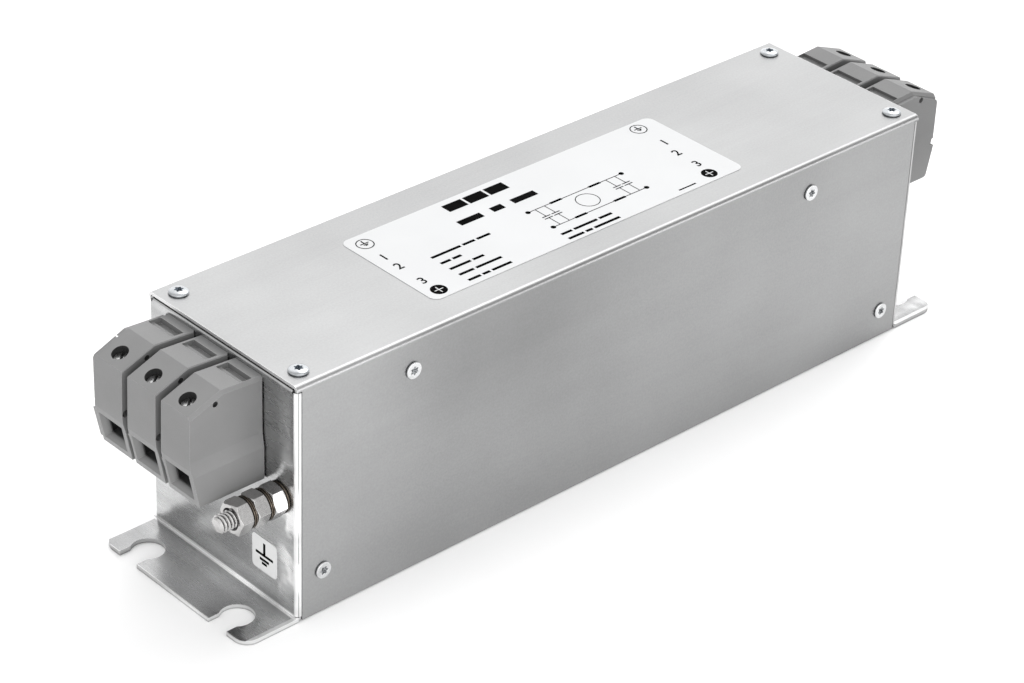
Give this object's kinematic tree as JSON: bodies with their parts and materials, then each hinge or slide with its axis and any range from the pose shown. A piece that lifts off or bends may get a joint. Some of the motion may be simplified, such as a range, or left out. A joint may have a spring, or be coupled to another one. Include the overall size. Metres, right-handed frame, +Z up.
{
  "type": "power line filter",
  "caption": "Long folded steel case with slotted feet, screw terminals and an earth stud at each end.",
  "frame": {"origin": "on the mounting surface, under the middle of the case", "axes": "+X from the line end to the load end, along the case; +Y across it; +Z up from the mounting surface"},
  "size_m": [0.3248, 0.073, 0.0855],
  "materials": {
    "case_steel": "tinned sheet, finely brushed",
    "plated_screws": "bright zinc",
    "earth_hardware": "bright nickel",
    "terminal_plastic": "matt moulded grey",
    "clamp_steel": "zinc plated",
    "tinned_copper": "tinned",
    "label_film": "satin film",
    "board_laminate": "satin",
    "insulating_film": "satin film",
    "standoff_brass": "turned",
    "core_coating": "epoxy coated",
    "enamelled_copper": "enamelled",
    "choke_plastic": "moulded",
    "capacitor_case": "moulded",
    "resistor_body": "lacquered"
  },
  "bodies": {
    "root": {"base_plate": "case_steel", "board_screws": "plated_screws", "board_standoffs": "standoff_brass", "choke_base": "choke_plastic", "choke_core": "core_coating", "choke_winding_1": "enamelled_copper", "choke_winding_2": "enamelled_copper", "choke_winding_3": "enamelled_copper", "circuit_board": "board_laminate", "clamp_screws": "clamp_steel", "cover": "case_steel", "cover_side_screws": "plated_screws", "cover_top_screws": "plated_screws", "discharge_resistor_1": "resistor_body", "discharge_resistor_2": "resistor_body", "discharge_resistor_3": "resistor_body", "insulating_sheet": "insulating_film", "line_brace": "case_steel", "line_clamp_cage_1": "clamp_steel", "line_clamp_cage_2": "clamp_steel", "line_clamp_cage_3": "clamp_steel", "line_current_bar_1": "tinned_copper", "line_current_bar_2": "tinned_copper", "line_current_bar_3": "tinned_copper", "line_earth_label": "label_film", "line_earth_nuts": "earth_hardware", "line_earth_stud": "earth_hardware", "line_earth_washers": "earth_hardware", "line_end_plate": "case_steel", "line_terminal_1": "terminal_plastic", "line_terminal_2": "terminal_plastic", "line_terminal_3": "terminal_plastic", "line_terminal_end_cover": "terminal_plastic", "line_x_capacitor_1": "capacitor_case", "line_x_capacitor_2": "capacitor_case", "line_x_capacitor_3": "capacitor_case", "load_brace": "case_steel", "load_clamp_cage_1": "clamp_steel", "load_clamp_cage_2": "clamp_steel", "load_clamp_cage_3": "clamp_steel", "load_current_bar_1": "tinned_copper", "load_current_bar_2": "tinned_copper", "load_current_bar_3": "tinned_copper", "load_earth_nuts": "earth_hardware", "load_earth_stud": "earth_hardware", "load_earth_washers": "earth_hardware", "load_end_plate": "case_steel", "load_terminal_1": "terminal_plastic", "load_terminal_2": "terminal_plastic", "load_terminal_3": "terminal_plastic", "load_terminal_end_cover": "terminal_plastic", "load_x_capacitor_1": "capacitor_case", "load_x_capacitor_2": "capacitor_case", "load_x_capacitor_3": "capacitor_case", "phase_divider": "choke_plastic", "rating_label": "label_film", "y_capacitor_1": "capacitor_case", "y_capacitor_2": "capacitor_case", "y_capacitor_3": "capacitor_case"}
  },
  "joints": []
}
